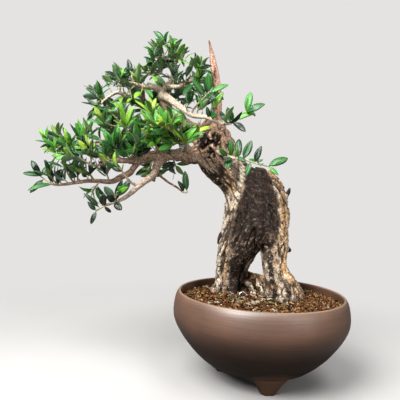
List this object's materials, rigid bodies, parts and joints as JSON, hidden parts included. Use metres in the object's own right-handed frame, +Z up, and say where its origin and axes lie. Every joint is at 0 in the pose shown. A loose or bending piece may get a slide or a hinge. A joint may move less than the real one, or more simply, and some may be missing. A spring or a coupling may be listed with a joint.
{
  "type": "potted bonsai tree",
  "caption": "Old olive bonsai leaning to one side, with a twin-legged trunk, a dead spike and leafy sprays, in a round stoneware pot on short feet.",
  "frame": {"origin": "middle of the bounding box, in the plane that the feet of the pot stand on", "axes": "+Z up along the height of the tree, the front of the tree towards -Y, the trunk leans towards -X"},
  "size_m": [0.381, 0.2, 0.397],
  "materials": {
    "stoneware": "unglazed brown stoneware, satin, with fine throwing lines",
    "gravel": "loose baked-clay gravel mixed with pumice grains",
    "bark": "old bark and bare weathered deadwood",
    "olive_leaf": "living leather-like leaves, waxy above and grey-green below",
    "aluminium_wire": "bare drawn wire",
    "plastic_mesh": "moulded black mesh"
  },
  "bodies": {
    "root": {"drainage_screen": "plastic_mesh", "fixing_wire": "aluminium_wire", "pot": "stoneware", "soil": "gravel", "spray_01": "olive_leaf", "spray_02": "olive_leaf", "spray_03": "olive_leaf", "spray_04": "olive_leaf", "spray_05": "olive_leaf", "spray_06": "olive_leaf", "spray_07": "olive_leaf", "spray_08": "olive_leaf", "spray_09": "olive_leaf", "spray_10": "olive_leaf", "spray_11": "olive_leaf", "spray_12": "olive_leaf", "spray_13": "olive_leaf", "spray_14": "olive_leaf", "spray_15": "olive_leaf", "spray_16": "olive_leaf", "spray_17": "olive_leaf", "spray_18": "olive_leaf", "spray_19": "olive_leaf", "spray_20": "olive_leaf", "spray_21": "olive_leaf", "spray_22": "olive_leaf", "spray_23": "olive_leaf", "spray_24": "olive_leaf", "spray_25": "olive_leaf", "spray_26": "olive_leaf", "spray_27": "olive_leaf", "spray_28": "olive_leaf", "spray_29": "olive_leaf", "spray_30": "olive_leaf", "spray_31": "olive_leaf", "spray_32": "olive_leaf", "spray_33": "olive_leaf", "spray_34": "olive_leaf", "spray_35": "olive_leaf", "spray_36": "olive_leaf", "spray_37": "olive_leaf", "spray_38": "olive_leaf", "spray_39": "olive_leaf", "spray_40": "olive_leaf", "spray_41": "olive_leaf", "spray_42": "olive_leaf", "spray_43": "olive_leaf", "spray_44": "olive_leaf", "spray_45": "olive_leaf", "spray_46": "olive_leaf", "spray_47": "olive_leaf", "spray_48": "olive_leaf", "spray_open_cross_shoot": "olive_leaf", "spray_open_crossing": "olive_leaf", "spray_open_hanging": "olive_leaf", "spray_open_left": "olive_leaf", "spray_open_right_low": "olive_leaf", "spray_open_top": "olive_leaf", "spray_open_under": "olive_leaf", "trunk": "bark"}
  },
  "joints": []
}
